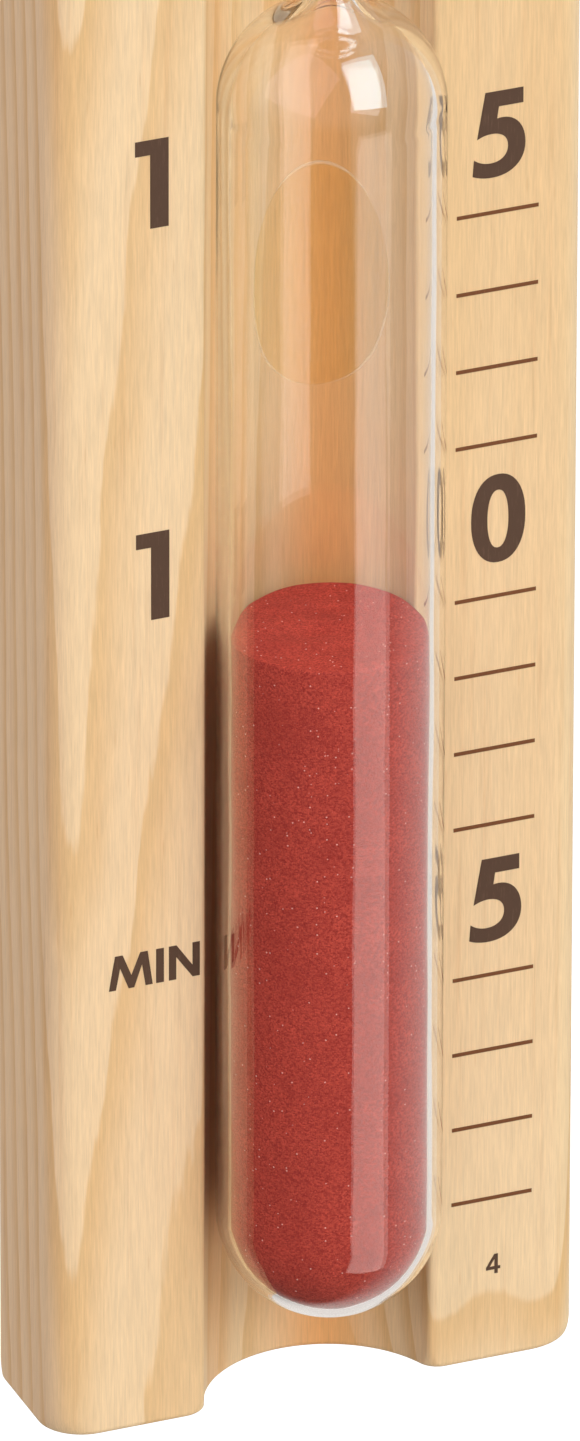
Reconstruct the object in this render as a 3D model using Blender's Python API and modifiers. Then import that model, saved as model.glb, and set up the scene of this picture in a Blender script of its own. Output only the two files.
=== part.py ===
"""Wall-hung sand timer: a pine body that turns on a pivot in front of a small wall plate.

+Z is up, -Y is the front, and the wall is the plane y = 0. The pivot lies along Y through the origin.
"""

from math import acos, atan2, cos, pi, radians, sin, sqrt

import bmesh
import bpy

MM = 0.001

# Pine body
BODY_WIDTH = 50.0 * MM
BODY_HEIGHT = 283.0 * MM
BODY_THICKNESS = 14.0 * MM
FRONT_EDGE_RADIUS = 2.7 * MM
BACK_EDGE_RADIUS = 1.3 * MM
END_ROUNDING = 0.6 * MM
SANDED_HEIGHT = 2.4 * MM  # how far from each end the sanding of the sharp corners reaches
SANDED_EXTRA = 2.4 * MM  # how much larger the corner radii are right at the end
LIP_RADIUS = 0.6 * MM  # rounding where the groove meets the front face

# Glass vial, a sealed double bulb
VIAL_RADIUS = 10.0 * MM
VIAL_WALL = 1.3 * MM
VIAL_END_MARGIN = 10.2 * MM  # between each end of the vial and the end of the body
NECK_HALF_LENGTH = 3.5 * MM  # from the throat to the tip of each bulb's inner dome
NECK_RADIUS = 2.6 * MM
THROAT_RADIUS = 0.9 * MM
FILL_HOLE_RADIUS = 2.0 * MM

# Fit of the vial in the groove
VIAL_PROUD = 2.6 * MM  # the vial's axis lies this far in front of the body's face
GROOVE_CLEARANCE = 1.0 * MM

# Sand and stopper
SAND_HEIGHT = 66.3 * MM  # measured from the bottom of the lower bulb's bore
STOPPER_CAP_RADIUS = 3.2 * MM
STOPPER_CAP_THICKNESS = 1.0 * MM
STOPPER_LENGTH = 4.0 * MM

# Clear glue dabs between vial and groove
DAB_WIDTH = 15.0 * MM
DAB_HEIGHT = 21.7 * MM
DAB_OFFSET = 34.4 * MM  # from the pivot, up and down
DAB_LEAN = radians(14.3)  # how far round the groove the dab sits from its deepest line

# Wall plate
PLATE_WIDTH = 34.0 * MM
PLATE_HEIGHT = 84.0 * MM
PLATE_THICKNESS = 10.0 * MM
PLATE_CORNER_RADIUS = 6.0 * MM
PLATE_EDGE_ROUNDING = 0.8 * MM
WALL_SCREW_SPACING = 64.0 * MM
WALL_SCREW_HOLE_RADIUS = 2.2 * MM
COUNTERSINK_RADIUS = 4.4 * MM

# Pivot
SCREW_RADIUS = 2.5 * MM
SCREW_HEAD_RADIUS = 4.5 * MM
SCREW_HEAD_HEIGHT = 2.6 * MM
SCREW_GRIP = 7.0 * MM  # length held in the threaded insert
HEX_RADIUS = 1.6 * MM
HEX_DEPTH = 1.5 * MM
RUNNING_CLEARANCE = 0.1 * MM
SPOT_FACE_RADIUS = 6.0 * MM
SPOT_FACE_DEPTH = 1.2 * MM
BUSH_WALL = 1.2 * MM
BUSH_FLANGE_RADIUS = 5.4 * MM
BUSH_FLANGE_THICKNESS = 0.8 * MM
SPRING_RADIUS = 4.6 * MM
SPRING_THICKNESS = 0.6 * MM
WASHER_RADIUS = 14.0 * MM
WASHER_THICKNESS = 1.2 * MM
INSERT_WALL = 1.2 * MM
INSERT_LENGTH = 7.4 * MM
INSERT_COLLAR_RADIUS = 4.6 * MM
INSERT_COLLAR_THICKNESS = 0.8 * MM

GAP = 0.3 * MM  # between pieces that touch

# Places that follow from the sizes
GROOVE_RADIUS = VIAL_RADIUS + GROOVE_CLEARANCE
BORE_RADIUS = VIAL_RADIUS - VIAL_WALL
VIAL_HALF = BODY_HEIGHT / 2 - VIAL_END_MARGIN
DOME_OFFSET = VIAL_RADIUS + NECK_HALF_LENGTH  # height of the centre of each bulb's inner dome
BULB_END = VIAL_HALF - VIAL_RADIUS  # height of the centre of each rounded end
WASHER_BACK = -PLATE_THICKNESS - GAP
WASHER_FRONT = WASHER_BACK - WASHER_THICKNESS
BODY_BACK = WASHER_FRONT - GAP
BODY_FRONT = BODY_BACK - BODY_THICKNESS
VIAL_AXIS = BODY_FRONT - VIAL_PROUD
SPOT_FACE = VIAL_AXIS + GROOVE_RADIUS + SPOT_FACE_DEPTH
BUSH_BORE = SCREW_RADIUS + RUNNING_CLEARANCE
BUSH_RADIUS = BUSH_BORE + BUSH_WALL
FLANGE_BACK = SPOT_FACE - GAP
FLANGE_FRONT = FLANGE_BACK - BUSH_FLANGE_THICKNESS
SPRING_BACK = FLANGE_FRONT - GAP
SPRING_FRONT = SPRING_BACK - SPRING_THICKNESS
HEAD_BACK = SPRING_FRONT - GAP
HEAD_FRONT = HEAD_BACK - SCREW_HEAD_HEIGHT
INSERT_BORE = SCREW_RADIUS + RUNNING_CLEARANCE
INSERT_RADIUS = INSERT_BORE + INSERT_WALL
INSERT_FRONT = -PLATE_THICKNESS + GAP
INSERT_BACK = INSERT_FRONT + INSERT_LENGTH
SCREW_TIP = INSERT_FRONT + SCREW_GRIP

TURN_STEPS = 24
PIVOT_STEPS = 40
THROUGH = 5.0 * MM  # how far a cutter runs past the face that it opens


def clear_scene():
    for obj in list(bpy.data.objects):
        bpy.data.objects.remove(obj)


def new_collection(name):
    collection = bpy.data.collections.new(name)
    bpy.context.scene.collection.children.link(collection)
    return collection


def material(name, colour, roughness, metallic=0.0, transmission=0.0):
    made = bpy.data.materials.new(name)
    made.use_nodes = True
    made.diffuse_color = (*colour, 1.0)
    shader = made.node_tree.nodes["Principled BSDF"]
    shader.inputs["Base Color"].default_value = (*colour, 1.0)
    shader.inputs["Roughness"].default_value = roughness
    shader.inputs["Metallic"].default_value = metallic
    shader.inputs["Transmission Weight"].default_value = transmission
    return made


def add_object(name, mesh, collection, look=None):
    obj = bpy.data.objects.new(name, mesh)
    collection.objects.link(obj)
    if look:
        mesh.materials.append(look)
        mesh.shade_smooth()
        mesh.set_sharp_from_angle(angle=radians(35))
    else:
        obj.hide_render = True
        obj.display_type = "WIRE"
    return obj


def arc(centre, radius, start, end, segments):
    """Points along an arc, both ends included, in the plane of centre."""
    points = []
    for i in range(segments + 1):
        angle = start + (end - start) * i / segments
        points.append((centre[0] + radius * cos(angle), centre[1] + radius * sin(angle)))
    return points


def without_repeats(points, near=1e-6):
    kept = [points[0]]
    for point in points[1:]:
        if abs(point[0] - kept[-1][0]) > near or abs(point[1] - kept[-1][1]) > near:
            kept.append(point)
    return kept


def turned(name, profile, collection, look=None, closed=False, steps=TURN_STEPS):
    """A shape turned about Z from (radius, height) points that run down its outer side."""
    mesh = bpy.data.meshes.new(name)
    points = [(radius, 0.0, height) for radius, height in without_repeats(profile)]
    edges = [(i, i + 1) for i in range(len(points) - 1)]
    if closed:
        edges.append((len(points) - 1, 0))
    mesh.from_pydata(points, edges, [])
    obj = add_object(name, mesh, collection, look)
    screw = obj.modifiers.new("Turn", "SCREW")
    screw.axis = "Z"
    screw.steps = steps
    screw.render_steps = steps
    screw.use_merge_vertices = True
    screw.merge_threshold = 0.00001
    screw.use_smooth_shade = True
    return obj


def turned_on_pivot(name, profile, collection, look=None, closed=False):
    """The same about the pivot: a profile's height is then the distance in front of the wall."""
    obj = turned(name, profile, collection, look, closed, PIVOT_STEPS)
    obj.rotation_euler.x = pi / 2
    return obj


def ring(outer, inner, front, back):
    """Closed profile of a washer or sleeve between two y positions, front being the lower one."""
    return [(outer, -front), (outer, -back), (inner, -back), (inner, -front)]


def cut(obj, cutter):
    boolean = obj.modifiers.new("Cut " + cutter.name, "BOOLEAN")
    boolean.operation = "DIFFERENCE"
    boolean.object = cutter
    boolean.solver = "EXACT"


def body_section(sanding, inset):
    """The body's outline seen from above. Sanding, 0 to 1, grows its corner radii; inset shrinks it."""
    side = BODY_WIDTH / 2 - inset
    front = BODY_FRONT + inset
    back = BODY_BACK - inset
    groove = GROOVE_RADIUS + inset
    extra = SANDED_EXTRA * sanding
    front_radius = FRONT_EDGE_RADIUS + extra - inset
    back_radius = BACK_EDGE_RADIUS + extra / 2 - inset
    lip = LIP_RADIUS + extra - inset
    lip_y = front + lip
    lip_x = sqrt((groove + lip) ** 2 - (lip_y - VIAL_AXIS) ** 2)
    lip_angle = atan2(lip_y - VIAL_AXIS, lip_x)
    corner = 7
    points = []
    points += arc((side - back_radius, back - back_radius), back_radius, pi / 2, 0, corner)
    points += arc((side - front_radius, front + front_radius), front_radius, 0, -pi / 2, corner)
    points += arc((lip_x, lip_y), lip, -pi / 2, -pi + lip_angle, corner)
    points += arc((0, VIAL_AXIS), groove, lip_angle, pi - lip_angle, 32)[1:-1]
    points += arc((-lip_x, lip_y), lip, -lip_angle, -pi / 2, corner)
    points += arc((front_radius - side, front + front_radius), front_radius, -pi / 2, -pi, corner)
    points += arc((back_radius - side, back - back_radius), back_radius, pi, pi / 2, corner)
    return points


def end_levels():
    """(distance from the end, sanding, inset) of the body's sections, from the end inwards."""
    rounded = [END_ROUNDING * (1 - cos(radians(a))) for a in (0, 30, 60, 90)]
    sanded = [SANDED_HEIGHT * share for share in (0.45, 0.7, 1.0)]
    levels = []
    for depth in rounded + sanded:
        sanding = 1 - sqrt(1 - (1 - depth / SANDED_HEIGHT) ** 2)
        left = max(0.0, 1 - depth / END_ROUNDING)
        levels.append((depth, sanding, END_ROUNDING * (1 - sqrt(1 - left**2))))
    return levels


def make_body(collection, cutters):
    """A loft through sections that change only near the two sanded ends."""
    top = BODY_HEIGHT / 2
    levels = end_levels()
    stations = [(depth - top, sanding, inset) for depth, sanding, inset in levels]
    stations += [(top - depth, sanding, inset) for depth, sanding, inset in reversed(levels)]
    bm = bmesh.new()
    rings = []
    for height, sanding, inset in stations:
        section = body_section(sanding, inset)
        rings.append([bm.verts.new((x, y, height)) for x, y in section])
    count = len(rings[0])
    for lower, upper in zip(rings, rings[1:]):
        for i in range(count):
            j = (i + 1) % count
            bm.faces.new((lower[i], lower[j], upper[j], upper[i]))
    bm.faces.new(rings[0])
    bm.faces.new(rings[-1])
    bmesh.ops.recalc_face_normals(bm, faces=bm.faces)
    mesh = bpy.data.meshes.new("timer_body")
    bm.to_mesh(mesh)
    bm.free()
    look = material("pine", (0.78, 0.58, 0.36), 0.55)
    body = add_object("timer_body", mesh, collection, look)
    hole = BUSH_RADIUS + GAP
    recess = [(0, THROUGH - VIAL_AXIS), (SPOT_FACE_RADIUS, THROUGH - VIAL_AXIS), (SPOT_FACE_RADIUS, -SPOT_FACE)]
    recess += [(hole, -SPOT_FACE), (hole, -BODY_BACK - THROUGH), (0, -BODY_BACK - THROUGH)]
    cut(body, turned_on_pivot("pivot_hole_cutter", recess, cutters))


def bulb_profile(radius, throat):
    """Upper half of the vial's outline, from the top pole down to the throat."""
    fillet = (DOME_OFFSET**2 + throat**2 - radius**2) / (2 * (radius - throat))
    reach = acos(DOME_OFFSET / (radius + fillet))
    points = arc((0, BULB_END), radius, pi / 2, 0, 6)
    points += arc((0, DOME_OFFSET), radius, 0, reach - pi / 2, 6)
    points += arc((throat + fillet, 0), fillet, reach + pi / 2, pi, 4)
    return without_repeats(points)


def mirrored_down(points):
    return [(radius, -height) for radius, height in reversed(points)]


def make_vial(collection):
    """One turned shell: up the bore from its lower pole, out of the fill hole and down the outside."""
    outside = bulb_profile(VIAL_RADIUS, NECK_RADIUS)
    bore = bulb_profile(BORE_RADIUS, THROAT_RADIUS)
    outer_rim = BULB_END + sqrt(VIAL_RADIUS**2 - FILL_HOLE_RADIUS**2)
    inner_rim = BULB_END + sqrt(BORE_RADIUS**2 - FILL_HOLE_RADIUS**2)
    open_outside = [(FILL_HOLE_RADIUS, outer_rim)] + [p for p in outside if p[1] < outer_rim and p[0] > 0]
    open_bore = [(FILL_HOLE_RADIUS, inner_rim)] + [p for p in bore if p[1] < inner_rim and p[0] > 0]
    down_outside = open_outside + mirrored_down(outside)
    down_bore = open_bore + mirrored_down(bore)
    look = material("clear_glass", (0.96, 0.97, 0.96), 0.02, transmission=1.0)
    vial = turned("glass_vial", down_bore[::-1] + down_outside, collection, look)
    vial.location.y = VIAL_AXIS


def make_stopper(collection):
    """A mushroom-shaped plug in the fill hole."""
    cap_bottom = VIAL_HALF + GAP
    cap_top = cap_bottom + STOPPER_CAP_THICKNESS
    shank = FILL_HOLE_RADIUS - GAP
    crown = STOPPER_CAP_THICKNESS / 2
    profile = [(0, cap_top), (STOPPER_CAP_RADIUS - crown, cap_top)]
    profile += arc((STOPPER_CAP_RADIUS - crown, cap_top - crown), crown, pi / 2, 0, 4)
    profile += [(STOPPER_CAP_RADIUS, cap_bottom), (shank, cap_bottom)]
    profile += [(shank, cap_bottom - STOPPER_LENGTH), (0, cap_bottom - STOPPER_LENGTH)]
    look = material("stopper_silicone", (0.85, 0.82, 0.76), 0.5)
    stopper = turned("fill_stopper", profile, collection, look)
    stopper.location.y = VIAL_AXIS


def make_sand(collection):
    """Sand lying in the lower bulb, flat on top."""
    radius = BORE_RADIUS - GAP
    level = SAND_HEIGHT - BULB_END - BORE_RADIUS
    profile = [(0, level), (radius, level)]
    profile += arc((0, -BULB_END), radius, 0, -pi / 2, 8)
    sand = turned("sand_charge", profile, collection, material("red_sand", (0.42, 0.06, 0.04), 0.9))
    sand.location.y = VIAL_AXIS


def make_dab(name, height, collection, look):
    """An oval patch wrapped round the back of the vial, filling the space to the groove."""
    radius = VIAL_RADIUS + GROOVE_CLEARANCE / 2
    rings, around = 4, 28
    bm = bmesh.new()
    bmesh.ops.create_circle(bm, cap_ends=True, segments=around, radius=1.0)
    for _ in range(rings - 1):
        middle = [face for face in bm.faces if len(face.verts) == around]
        bmesh.ops.inset_region(
            bm, faces=middle, thickness=1.0 / rings, use_boundary=True, use_even_offset=True
        )
    for vert in bm.verts:
        angle = DAB_LEAN + vert.co.x * DAB_WIDTH / 2 / radius
        up = vert.co.y * DAB_HEIGHT / 2
        vert.co = (radius * sin(angle), radius * cos(angle), up)
    mesh = bpy.data.meshes.new(name)
    bm.to_mesh(mesh)
    bm.free()
    dab = add_object(name, mesh, collection, look)
    dab.location = (0, VIAL_AXIS, height)
    shell = dab.modifiers.new("Thickness", "SOLIDIFY")
    shell.thickness = GROOVE_CLEARANCE - 2 * GAP
    shell.offset = 0


def make_dabs(collection):
    look = material("clear_silicone", (0.9, 0.88, 0.82), 0.15, transmission=0.8)
    make_dab("glue_dab_lower", -DAB_OFFSET, collection, look)
    make_dab("glue_dab_upper", DAB_OFFSET, collection, look)


def make_wall_plate(collection, cutters):
    """A rounded block with a blind hole for the insert and two countersunk holes for wall screws."""
    bm = bmesh.new()
    bmesh.ops.create_cube(bm, size=1.0)
    bmesh.ops.scale(bm, verts=bm.verts, vec=(PLATE_WIDTH, PLATE_THICKNESS, PLATE_HEIGHT))
    corners = [e for e in bm.edges if abs(e.verts[0].co.y - e.verts[1].co.y) > PLATE_THICKNESS / 2]
    bmesh.ops.bevel(bm, geom=corners, offset=PLATE_CORNER_RADIUS, segments=6, profile=0.5, affect="EDGES")
    front = [e for e in bm.edges if max(v.co.y for v in e.verts) < 0]
    bmesh.ops.bevel(bm, geom=front, offset=PLATE_EDGE_ROUNDING, segments=2, profile=0.5, affect="EDGES")
    bmesh.ops.translate(bm, verts=bm.verts, vec=(0, -PLATE_THICKNESS / 2, 0))
    mesh = bpy.data.meshes.new("wall_plate")
    bm.to_mesh(mesh)
    bm.free()
    plate = add_object("wall_plate", mesh, collection, material("plate_pine", (0.74, 0.54, 0.33), 0.6))
    hole = INSERT_RADIUS + GAP
    collar = INSERT_COLLAR_RADIUS + GAP
    collar_floor = -INSERT_FRONT - INSERT_COLLAR_THICKNESS - GAP
    blind = [(0, PLATE_THICKNESS + THROUGH), (collar, PLATE_THICKNESS + THROUGH), (collar, collar_floor)]
    blind += [(hole, collar_floor), (hole, -INSERT_BACK - GAP), (0, -INSERT_BACK - GAP)]
    cut(plate, turned_on_pivot("insert_hole_cutter", blind, cutters))
    depth = COUNTERSINK_RADIUS - WALL_SCREW_HOLE_RADIUS
    sink = [(0, PLATE_THICKNESS + THROUGH), (COUNTERSINK_RADIUS, PLATE_THICKNESS + THROUGH)]
    sink += [(COUNTERSINK_RADIUS, PLATE_THICKNESS), (WALL_SCREW_HOLE_RADIUS, PLATE_THICKNESS - depth)]
    sink += [(WALL_SCREW_HOLE_RADIUS, -THROUGH), (0, -THROUGH)]
    for side, label in ((1, "upper"), (-1, "lower")):
        cutter = turned_on_pivot(label + "_screw_hole_cutter", sink, cutters)
        cutter.location.z = side * WALL_SCREW_SPACING / 2
        cut(plate, cutter)


def make_insert(collection):
    """A flanged brass sleeve that the pivot screw grips."""
    collar_back = INSERT_FRONT + INSERT_COLLAR_THICKNESS
    profile = [(INSERT_COLLAR_RADIUS, -INSERT_FRONT), (INSERT_COLLAR_RADIUS, -collar_back)]
    profile += [(INSERT_RADIUS, -collar_back), (INSERT_RADIUS, -INSERT_BACK)]
    profile += [(INSERT_BORE, -INSERT_BACK), (INSERT_BORE, -INSERT_FRONT)]
    look = material("brass", (0.72, 0.52, 0.22), 0.35, metallic=1.0)
    turned_on_pivot("threaded_insert", profile, collection, look, closed=True)


def make_washers(collection):
    bore = SCREW_RADIUS + GAP
    felt = material("felt", (0.24, 0.22, 0.2), 0.95)
    friction = ring(WASHER_RADIUS, bore, WASHER_FRONT, WASHER_BACK)
    turned_on_pivot("friction_washer", friction, collection, felt, closed=True)
    steel = material("spring_steel", (0.5, 0.5, 0.52), 0.3, metallic=1.0)
    spring = ring(SPRING_RADIUS, bore, SPRING_FRONT, SPRING_BACK)
    turned_on_pivot("spring_washer", spring, collection, steel, closed=True)


def make_bush(collection):
    """A flanged sleeve pressed into the body, which turns on the screw."""
    profile = [(BUSH_FLANGE_RADIUS, -FLANGE_FRONT), (BUSH_FLANGE_RADIUS, -FLANGE_BACK)]
    profile += [(BUSH_RADIUS, -FLANGE_BACK), (BUSH_RADIUS, -BODY_BACK)]
    profile += [(BUSH_BORE, -BODY_BACK), (BUSH_BORE, -FLANGE_FRONT)]
    look = material("white_nylon", (0.8, 0.8, 0.78), 0.45)
    turned_on_pivot("pivot_bush", profile, collection, look, closed=True)


def make_screw(collection, cutters):
    """A button-head screw with a hexagon socket."""
    crown = SCREW_HEAD_HEIGHT * 0.6
    profile = [(0, -HEAD_FRONT), (SCREW_HEAD_RADIUS - crown, -HEAD_FRONT)]
    profile += arc((SCREW_HEAD_RADIUS - crown, -HEAD_FRONT - crown), crown, pi / 2, 0, 5)
    profile += [(SCREW_HEAD_RADIUS, -HEAD_BACK), (SCREW_RADIUS, -HEAD_BACK)]
    profile += [(SCREW_RADIUS, -SCREW_TIP), (0, -SCREW_TIP)]
    look = material("zinc_steel", (0.6, 0.6, 0.6), 0.25, metallic=1.0)
    screw = turned_on_pivot("pivot_screw", profile, collection, look)
    bm = bmesh.new()
    depth = HEX_DEPTH + THROUGH
    bmesh.ops.create_cone(
        bm, cap_ends=True, segments=6, radius1=HEX_RADIUS, radius2=HEX_RADIUS, depth=depth
    )
    mesh = bpy.data.meshes.new("hex_socket_cutter")
    bm.to_mesh(mesh)
    bm.free()
    socket = add_object("hex_socket_cutter", mesh, cutters)
    socket.rotation_euler.x = pi / 2
    socket.location.y = HEAD_FRONT + HEX_DEPTH - depth / 2
    cut(screw, socket)


def main():
    clear_scene()
    parts = new_collection("sand_timer")
    cutters = new_collection("cutters")
    make_body(parts, cutters)
    make_vial(parts)
    make_stopper(parts)
    make_sand(parts)
    make_dabs(parts)
    make_wall_plate(parts, cutters)
    make_insert(parts)
    make_washers(parts)
    make_bush(parts)
    make_screw(parts, cutters)


main()
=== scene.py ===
"""Looks of the wall-hung sand timer: pine block, glass vial, red sand, printed minutes, pivot and wall plate.

Metres, +Z up, the front faces -Y, and the pivot lies along Y through the origin.
"""

from math import acos, atan2, cos, pi, radians, sin, sqrt

import bmesh
import bpy
from mathutils import Matrix, Vector


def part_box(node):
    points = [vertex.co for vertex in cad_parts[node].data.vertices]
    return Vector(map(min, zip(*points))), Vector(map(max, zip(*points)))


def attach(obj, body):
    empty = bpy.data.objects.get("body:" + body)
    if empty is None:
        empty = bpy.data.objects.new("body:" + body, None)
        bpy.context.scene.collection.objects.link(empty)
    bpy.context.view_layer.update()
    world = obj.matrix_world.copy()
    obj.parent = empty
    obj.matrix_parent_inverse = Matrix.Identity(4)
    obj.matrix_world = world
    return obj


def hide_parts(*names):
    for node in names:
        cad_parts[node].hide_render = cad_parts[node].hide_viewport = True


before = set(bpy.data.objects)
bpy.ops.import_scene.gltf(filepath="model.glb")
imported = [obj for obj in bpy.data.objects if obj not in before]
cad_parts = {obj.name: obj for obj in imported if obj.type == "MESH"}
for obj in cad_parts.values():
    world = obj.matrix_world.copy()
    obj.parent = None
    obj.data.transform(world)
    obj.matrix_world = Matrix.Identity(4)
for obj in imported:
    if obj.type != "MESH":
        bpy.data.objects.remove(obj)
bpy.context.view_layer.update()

MM = 0.001

# Shapes shared with the CAD
BLOCK_LOW, BLOCK_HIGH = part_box("timer_body")
BLOCK_HALF_WIDTH = BLOCK_HIGH.x
BLOCK_HALF_HEIGHT = BLOCK_HIGH.z
FACE = BLOCK_LOW.y
BACK = BLOCK_HIGH.y
VIAL_LOW, VIAL_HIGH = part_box("glass_vial")
VIAL_RADIUS = VIAL_HIGH.x
VIAL_HALF = VIAL_HIGH.z
VIAL_AXIS = VIAL_LOW.y + VIAL_RADIUS
SAND_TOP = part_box("sand_charge")[1].z

FRONT_EDGE_RADIUS = 2.7 * MM
BACK_EDGE_RADIUS = 1.3 * MM
END_ROUNDING = 0.6 * MM
SANDED_HEIGHT = 2.4 * MM
SANDED_EXTRA = 2.4 * MM
LIP_RADIUS = 0.6 * MM
GROOVE_CLEARANCE = 1.0 * MM
GROOVE_RADIUS = VIAL_RADIUS + GROOVE_CLEARANCE
SPOT_FACE_RADIUS = 6.0 * MM
SPOT_FACE_DEPTH = 1.2 * MM
PIVOT_HOLE_RADIUS = 4.1 * MM

VIAL_WALL = 1.3 * MM
BORE_RADIUS = VIAL_RADIUS - VIAL_WALL
NECK_HALF_LENGTH = 3.5 * MM
DOME_OFFSET = VIAL_RADIUS + NECK_HALF_LENGTH
NECK_RADIUS = 2.6 * MM
THROAT_RADIUS = 0.9 * MM
FILL_HOLE_RADIUS = 2.0 * MM
BULB_END = VIAL_HALF - VIAL_RADIUS
END_THINNING = 0.4 * MM  # how much thinner the blown glass is at the very ends
SAND_AIR = 0.08 * MM  # air between the grains and the bore
GRAINS_PER_MM = 7.5
GLINTS_PER_MM = 3.2  # places where a painted glint may lie
PAINTED_GLINT_SHARE = 0.06  # share of those places that hold a painted glint

DAB_WIDTH = 15.0 * MM
DAB_HEIGHT = 21.7 * MM
DAB_OFFSET = 34.4 * MM
DAB_LEAN = radians(14.3)
DAB_THICKNESS = 0.4 * MM
# Pale colour of the painted highlight along the glue dab's edge
PAINTED_RIM_HIGHLIGHT = (0.93, 0.80, 0.62, 1.0)

# Printed scale on the front, measured from the block's middle and its lower end
MARK_ZERO = 8.9 * MM
MARK_SPACING = 7.48 * MM
TICK_MARKS = (1, 2, 3, 4, 6, 7, 8, 9, 11, 12, 13, 14)
TICK_START = 12.75 * MM
TICK_END = 20.4 * MM
TICK_WIDTH = 0.36 * MM
PRINT_THICKNESS = 0.04 * MM
PRINT_SUNK = 0.03 * MM

# Camera and lights
CAMERA_AZIMUTH = -22.0
CAMERA_ELEVATION = 27.5
CAMERA_ROLL = radians(0.12)
CAMERA_DISTANCE = 2.196
CAMERA_LENS = 620.0
CAMERA_TARGET = Vector((7.96, 0.65, -88.7)) * MM
LIT_POINT = Vector((0, 0, -60.0)) * MM
FLOOR_DROP = 0.60
FLOOR_HALF_SIZE = 12.0
DARK_SIDE = 0.05
BRIGHT_SIDE = 0.74  # added to the dark side's brightness
CEILING = 0.55
AMBIENT = 0.33
WARM_WHITE = (1.0, 0.95, 0.90, 1.0)


# ---------------------------------------------------------------- mesh helpers


def arc(centre, radius, start, end, segments):
    """Points along an arc, both ends included, in the plane of centre."""
    points = []
    for i in range(segments + 1):
        angle = start + (end - start) * i / segments
        points.append((centre[0] + radius * cos(angle), centre[1] + radius * sin(angle)))
    return points


def without_repeats(points, near=1e-6):
    kept = [points[0]]
    for point in points[1:]:
        if abs(point[0] - kept[-1][0]) > near or abs(point[1] - kept[-1][1]) > near:
            kept.append(point)
    return kept


def new_object(name, mesh, look, smooth_angle=35.0):
    obj = bpy.data.objects.new(name, mesh)
    bpy.context.scene.collection.objects.link(obj)
    mesh.materials.clear()
    mesh.materials.append(look)
    mesh.shade_smooth()
    mesh.set_sharp_from_angle(angle=radians(smooth_angle))
    return obj


def mesh_from(bm, name):
    mesh = bpy.data.meshes.new(name)
    bm.to_mesh(mesh)
    bm.free()
    return mesh


def turned(name, profile, steps, closed=False, centre_y=0.0):
    """A mesh turned about a vertical axis from (radius, height) points that run down its outer side."""
    bm = bmesh.new()
    rings = []
    for radius, height in without_repeats(profile):
        if radius < 1e-6:
            rings.append([bm.verts.new((0, centre_y, height))])
            continue
        ring = []
        for i in range(steps):
            angle = 2 * pi * i / steps
            ring.append(bm.verts.new((radius * cos(angle), centre_y + radius * sin(angle), height)))
        rings.append(ring)
    pairs = list(zip(rings, rings[1:]))
    if closed:
        pairs.append((rings[-1], rings[0]))
    for upper, lower in pairs:
        for i in range(steps):
            j = (i + 1) % steps
            if len(upper) == 1:
                bm.faces.new((upper[0], lower[i], lower[j]))
            elif len(lower) == 1:
                bm.faces.new((upper[i], lower[0], upper[j]))
            else:
                bm.faces.new((upper[i], lower[i], lower[j], upper[j]))
    bmesh.ops.recalc_face_normals(bm, faces=bm.faces)
    return mesh_from(bm, name)


def applied(obj):
    """Replaces an object's mesh with the result of its modifiers."""
    graph = bpy.context.evaluated_depsgraph_get()
    mesh = bpy.data.meshes.new_from_object(obj.evaluated_get(graph))
    obj.modifiers.clear()
    obj.data = mesh
    return mesh


def refined(name, node, look, body, slot, smooth_angle=32.0):
    """A welded, smoothly shaded copy of a CAD node."""
    bm = bmesh.new()
    bm.from_mesh(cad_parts[node].data)
    bmesh.ops.remove_doubles(bm, verts=bm.verts, dist=1e-6)
    flat = [e for e in bm.edges if len(e.link_faces) == 2 and e.calc_face_angle(1.0) < 1e-3]
    bmesh.ops.dissolve_edges(bm, edges=flat, use_verts=False)
    bmesh.ops.recalc_face_normals(bm, faces=bm.faces)
    obj = new_object(name, mesh_from(bm, name), look, smooth_angle)
    weighted = obj.modifiers.new("Even shading", "WEIGHTED_NORMAL")
    weighted.keep_sharp = True
    place(obj, body, slot, node)
    return obj


def place(obj, body, slot, *nodes):
    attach(obj, body)
    if nodes:
        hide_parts(*nodes)


# ---------------------------------------------------------------- node helpers


def new_material(name):
    made = bpy.data.materials.new(name)
    made.use_nodes = True
    made.node_tree.nodes.clear()
    return made


def node(tree, kind, inputs=None, **settings):
    made = tree.nodes.new("ShaderNode" + kind)
    for key, value in settings.items():
        setattr(made, key, value)
    for key, value in (inputs or {}).items():
        if isinstance(value, bpy.types.NodeSocket):
            tree.links.new(value, made.inputs[key])
        else:
            made.inputs[key].default_value = value
    return made


def maths(tree, operation, *values, clamp=False):
    made = node(tree, "Math", dict(enumerate(values)), operation=operation)
    made.use_clamp = clamp
    return made.outputs[0]


def mix(tree, factor, first, second, blend="MIX"):
    made = node(tree, "Mix", {0: factor, 6: first, 7: second}, data_type="RGBA", blend_type=blend)
    return made.outputs[2]


def smooth_step(tree, value, low, high):
    made = node(
        tree,
        "MapRange",
        {"Value": value, "From Min": low, "From Max": high},
        interpolation_type="SMOOTHSTEP",
    )
    return made.outputs["Result"]


def object_mm(tree):
    """The object's own coordinates in millimetres."""
    coordinates = node(tree, "TexCoord")
    inputs = {0: coordinates.outputs["Object"], "Scale": 1 / MM}
    scaled = node(tree, "VectorMath", inputs, operation="SCALE")
    return scaled.outputs[0]


def stretched(tree, vector, x, y, z):
    made = node(tree, "VectorMath", {0: vector, 1: (x, y, z)}, operation="MULTIPLY")
    return made.outputs[0]


def noise(tree, vector, detail=2.0, roughness=0.5, scale=1.0, distortion=0.0):
    inputs = {"Vector": vector, "Scale": scale, "Detail": detail, "Roughness": roughness}
    inputs["Distortion"] = distortion
    return node(tree, "TexNoise", inputs).outputs[0]


def around_zero(tree, value, amount):
    """A 0 to 1 value as -amount to +amount."""
    return maths(tree, "MULTIPLY_ADD", value, 2 * amount, -amount)


def grey(value):
    return (value, value, value, 1.0)


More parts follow.
